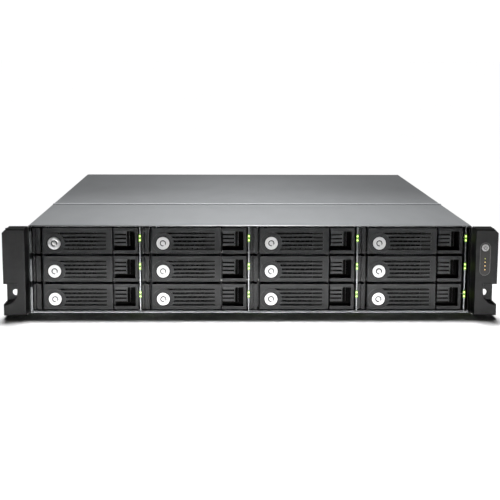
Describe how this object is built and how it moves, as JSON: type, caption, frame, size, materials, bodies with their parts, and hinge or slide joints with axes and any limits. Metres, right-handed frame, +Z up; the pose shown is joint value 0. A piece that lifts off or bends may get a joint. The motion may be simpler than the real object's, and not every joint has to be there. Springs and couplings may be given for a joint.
{
  "type": "network attached storage",
  "caption": "Rack-mount network storage unit with lockable slide-out drive trays, swing levers, push button, fans and two slide-in power supplies.",
  "frame": {"origin": "on the ground under the middle of the whole unit's box", "axes": "+X to the right seen from the front, +Y from the trays to the rear panel, +Z up"},
  "size_m": [0.4826, 0.574, 0.0888],
  "materials": {
    "chassis_steel": "satin",
    "cover_steel": "satin",
    "screw_steel": "satin",
    "bracket_black": "matte",
    "cap_plastic": "matte",
    "panel_dark": "gloss",
    "button_silver": "satin",
    "cage_steel": "satin",
    "light_pipe": "gloss",
    "board_green": "satin",
    "fan_plastic": "satin",
    "socket_metal": "satin",
    "supply_steel": "satin",
    "tray_plastic": "matte",
    "lever_plastic": "matte",
    "lock_metal": "polished"
  },
  "bodies": {
    "chassis": {"base_pan": "chassis_steel", "front_cover": "cover_steel", "rear_cover": "cover_steel", "rear_panel": "chassis_steel", "slot_covers": "chassis_steel", "case_screws": "screw_steel", "left_rack_bracket": "bracket_black", "right_rack_bracket": "bracket_black", "left_ear_cap": "cap_plastic", "right_ear_cap": "cap_plastic", "status_panel": "panel_dark", "drive_cage": "cage_steel", "light_pipes": "light_pipe", "backplane": "board_green", "fan_wall": "fan_plastic", "main_board": "board_green", "power_bay": "cage_steel", "rear_ports": "socket_metal"},
    "power_button": {"power_button": "button_silver"},
    "tray_01": {"tray_01": "tray_plastic"},
    "lever_01": {"lever_01": "lever_plastic"},
    "lock_01": {"lock_01": "lock_metal"},
    "tray_02": {"tray_02": "tray_plastic"},
    "lever_02": {"lever_02": "lever_plastic"},
    "lock_02": {"lock_02": "lock_metal"},
    "tray_03": {"tray_03": "tray_plastic"},
    "lever_03": {"lever_03": "lever_plastic"},
    "lock_03": {"lock_03": "lock_metal"},
    "tray_04": {"tray_04": "tray_plastic"},
    "lever_04": {"lever_04": "lever_plastic"},
    "lock_04": {"lock_04": "lock_metal"},
    "tray_05": {"tray_05": "tray_plastic"},
    "lever_05": {"lever_05": "lever_plastic"},
    "lock_05": {"lock_05": "lock_metal"},
    "tray_06": {"tray_06": "tray_plastic"},
    "lever_06": {"lever_06": "lever_plastic"},
    "lock_06": {"lock_06": "lock_metal"},
    "tray_07": {"tray_07": "tray_plastic"},
    "lever_07": {"lever_07": "lever_plastic"},
    "lock_07": {"lock_07": "lock_metal"},
    "tray_08": {"tray_08": "tray_plastic"},
    "lever_08": {"lever_08": "lever_plastic"},
    "lock_08": {"lock_08": "lock_metal"},
    "tray_09": {"tray_09": "tray_plastic"},
    "lever_09": {"lever_09": "lever_plastic"},
    "lock_09": {"lock_09": "lock_metal"},
    "tray_10": {"tray_10": "tray_plastic"},
    "lever_10": {"lever_10": "lever_plastic"},
    "lock_10": {"lock_10": "lock_metal"},
    "tray_11": {"tray_11": "tray_plastic"},
    "lever_11": {"lever_11": "lever_plastic"},
    "lock_11": {"lock_11": "lock_metal"},
    "tray_12": {"tray_12": "tray_plastic"},
    "lever_12": {"lever_12": "lever_plastic"},
    "lock_12": {"lock_12": "lock_metal"},
    "fan_rotor_1": {"fan_rotor_1": "fan_plastic"},
    "fan_rotor_2": {"fan_rotor_2": "fan_plastic"},
    "fan_rotor_3": {"fan_rotor_3": "fan_plastic"},
    "psu_1": {"psu_1": "supply_steel"},
    "psu_2": {"psu_2": "supply_steel"}
  },
  "joints": [
    {"name": "power_button_press", "type": "slide", "parent": "chassis", "child": "power_button", "axis": [0, 1, 0], "range_m": [0, 0.001], "stiffness_N_per_m": 200},
    {"name": "tray_slide_01", "type": "slide", "parent": "chassis", "child": "tray_01", "axis": [0, -1, 0], "range_m": [0, 0.155]},
    {"name": "lever_swing_01", "type": "hinge", "parent": "tray_01", "child": "lever_01", "pos_m": [-0.2047, -0.2488, 0.0716], "axis": [0, 0, -1], "range_deg": [0, 65]},
    {"name": "lock_turn_01", "type": "hinge", "parent": "lever_01", "child": "lock_01", "pos_m": [-0.1957, -0.25, 0.0693], "axis": [0, 1, 0], "range_deg": [0, 90]},
    {"name": "tray_slide_02", "type": "slide", "parent": "chassis", "child": "tray_02", "axis": [0, -1, 0], "range_m": [0, 0.155]},
    {"name": "lever_swing_02", "type": "hinge", "parent": "tray_02", "child": "lever_02", "pos_m": [-0.0964, -0.2488, 0.0716], "axis": [0, 0, -1], "range_deg": [0, 65]},
    {"name": "lock_turn_02", "type": "hinge", "parent": "lever_02", "child": "lock_02", "pos_m": [-0.0874, -0.25, 0.0693], "axis": [0, 1, 0], "range_deg": [0, 90]},
    {"name": "tray_slide_03", "type": "slide", "parent": "chassis", "child": "tray_03", "axis": [0, -1, 0], "range_m": [0, 0.155]},
    {"name": "lever_swing_03", "type": "hinge", "parent": "tray_03", "child": "lever_03", "pos_m": [0.0119, -0.2488, 0.0716], "axis": [0, 0, -1], "range_deg": [0, 65]},
    {"name": "lock_turn_03", "type": "hinge", "parent": "lever_03", "child": "lock_03", "pos_m": [0.0209, -0.25, 0.0693], "axis": [0, 1, 0], "range_deg": [0, 90]},
    {"name": "tray_slide_04", "type": "slide", "parent": "chassis", "child": "tray_04", "axis": [0, -1, 0], "range_m": [0, 0.155]},
    {"name": "lever_swing_04", "type": "hinge", "parent": "tray_04", "child": "lever_04", "pos_m": [0.1202, -0.2488, 0.0716], "axis": [0, 0, -1], "range_deg": [0, 65]},
    {"name": "lock_turn_04", "type": "hinge", "parent": "lever_04", "child": "lock_04", "pos_m": [0.1292, -0.25, 0.0693], "axis": [0, 1, 0], "range_deg": [0, 90]},
    {"name": "tray_slide_05", "type": "slide", "parent": "chassis", "child": "tray_05", "axis": [0, -1, 0], "range_m": [0, 0.155]},
    {"name": "lever_swing_05", "type": "hinge", "parent": "tray_05", "child": "lever_05", "pos_m": [-0.2047, -0.2488, 0.0432], "axis": [0, 0, -1], "range_deg": [0, 65]},
    {"name": "lock_turn_05", "type": "hinge", "parent": "lever_05", "child": "lock_05", "pos_m": [-0.1957, -0.25, 0.0409], "axis": [0, 1, 0], "range_deg": [0, 90]},
    {"name": "tray_slide_06", "type": "slide", "parent": "chassis", "child": "tray_06", "axis": [0, -1, 0], "range_m": [0, 0.155]},
    {"name": "lever_swing_06", "type": "hinge", "parent": "tray_06", "child": "lever_06", "pos_m": [-0.0964, -0.2488, 0.0432], "axis": [0, 0, -1], "range_deg": [0, 65]},
    {"name": "lock_turn_06", "type": "hinge", "parent": "lever_06", "child": "lock_06", "pos_m": [-0.0874, -0.25, 0.0409], "axis": [0, 1, 0], "range_deg": [0, 90]},
    {"name": "tray_slide_07", "type": "slide", "parent": "chassis", "child": "tray_07", "axis": [0, -1, 0], "range_m": [0, 0.155]},
    {"name": "lever_swing_07", "type": "hinge", "parent": "tray_07", "child": "lever_07", "pos_m": [0.0119, -0.2488, 0.0432], "axis": [0, 0, -1], "range_deg": [0, 65]},
    {"name": "lock_turn_07", "type": "hinge", "parent": "lever_07", "child": "lock_07", "pos_m": [0.0209, -0.25, 0.0409], "axis": [0, 1, 0], "range_deg": [0, 90]},
    {"name": "tray_slide_08", "type": "slide", "parent": "chassis", "child": "tray_08", "axis": [0, -1, 0], "range_m": [0, 0.155]},
    {"name": "lever_swing_08", "type": "hinge", "parent": "tray_08", "child": "lever_08", "pos_m": [0.1202, -0.2488, 0.0432], "axis": [0, 0, -1], "range_deg": [0, 65]},
    {"name": "lock_turn_08", "type": "hinge", "parent": "lever_08", "child": "lock_08", "pos_m": [0.1292, -0.25, 0.0409], "axis": [0, 1, 0], "range_deg": [0, 90]},
    {"name": "tray_slide_09", "type": "slide", "parent": "chassis", "child": "tray_09", "axis": [0, -1, 0], "range_m": [0, 0.155]},
    {"name": "lever_swing_09", "type": "hinge", "parent": "tray_09", "child": "lever_09", "pos_m": [-0.2047, -0.2488, 0.0148], "axis": [0, 0, -1], "range_deg": [0, 65]},
    {"name": "lock_turn_09", "type": "hinge", "parent": "lever_09", "child": "lock_09", "pos_m": [-0.1957, -0.25, 0.0125], "axis": [0, 1, 0], "range_deg": [0, 90]},
    {"name": "tray_slide_10", "type": "slide", "parent": "chassis", "child": "tray_10", "axis": [0, -1, 0], "range_m": [0, 0.155]},
    {"name": "lever_swing_10", "type": "hinge", "parent": "tray_10", "child": "lever_10", "pos_m": [-0.0964, -0.2488, 0.0148], "axis": [0, 0, -1], "range_deg": [0, 65]},
    {"name": "lock_turn_10", "type": "hinge", "parent": "lever_10", "child": "lock_10", "pos_m": [-0.0874, -0.25, 0.0125], "axis": [0, 1, 0], "range_deg": [0, 90]},
    {"name": "tray_slide_11", "type": "slide", "parent": "chassis", "child": "tray_11", "axis": [0, -1, 0], "range_m": [0, 0.155]},
    {"name": "lever_swing_11", "type": "hinge", "parent": "tray_11", "child": "lever_11", "pos_m": [0.0119, -0.2488, 0.0148], "axis": [0, 0, -1], "range_deg": [0, 65]},
    {"name": "lock_turn_11", "type": "hinge", "parent": "lever_11", "child": "lock_11", "pos_m": [0.0209, -0.25, 0.0125], "axis": [0, 1, 0], "range_deg": [0, 90]},
    {"name": "tray_slide_12", "type": "slide", "parent": "chassis", "child": "tray_12", "axis": [0, -1, 0], "range_m": [0, 0.155]},
    {"name": "lever_swing_12", "type": "hinge", "parent": "tray_12", "child": "lever_12", "pos_m": [0.1202, -0.2488, 0.0148], "axis": [0, 0, -1], "range_deg": [0, 65]},
    {"name": "lock_turn_12", "type": "hinge", "parent": "lever_12", "child": "lock_12", "pos_m": [0.1292, -0.25, 0.0125], "axis": [0, 1, 0], "range_deg": [0, 90]},
    {"name": "fan_spin_1", "type": "hinge", "parent": "chassis", "child": "fan_rotor_1", "pos_m": [-0.132, -0.043, 0.044], "axis": [0, 1, 0], "continuous": true},
    {"name": "fan_spin_2", "type": "hinge", "parent": "chassis", "child": "fan_rotor_2", "pos_m": [0, -0.043, 0.044], "axis": [0, 1, 0], "continuous": true},
    {"name": "fan_spin_3", "type": "hinge", "parent": "chassis", "child": "fan_rotor_3", "pos_m": [0.132, -0.043, 0.044], "axis": [0, 1, 0], "continuous": true},
    {"name": "psu_slide_1", "type": "slide", "parent": "chassis", "child": "psu_1", "axis": [0, 1, 0], "range_m": [0, 0.17]},
    {"name": "psu_slide_2", "type": "slide", "parent": "chassis", "child": "psu_2", "axis": [0, 1, 0], "range_m": [0, 0.17]}
  ]
}
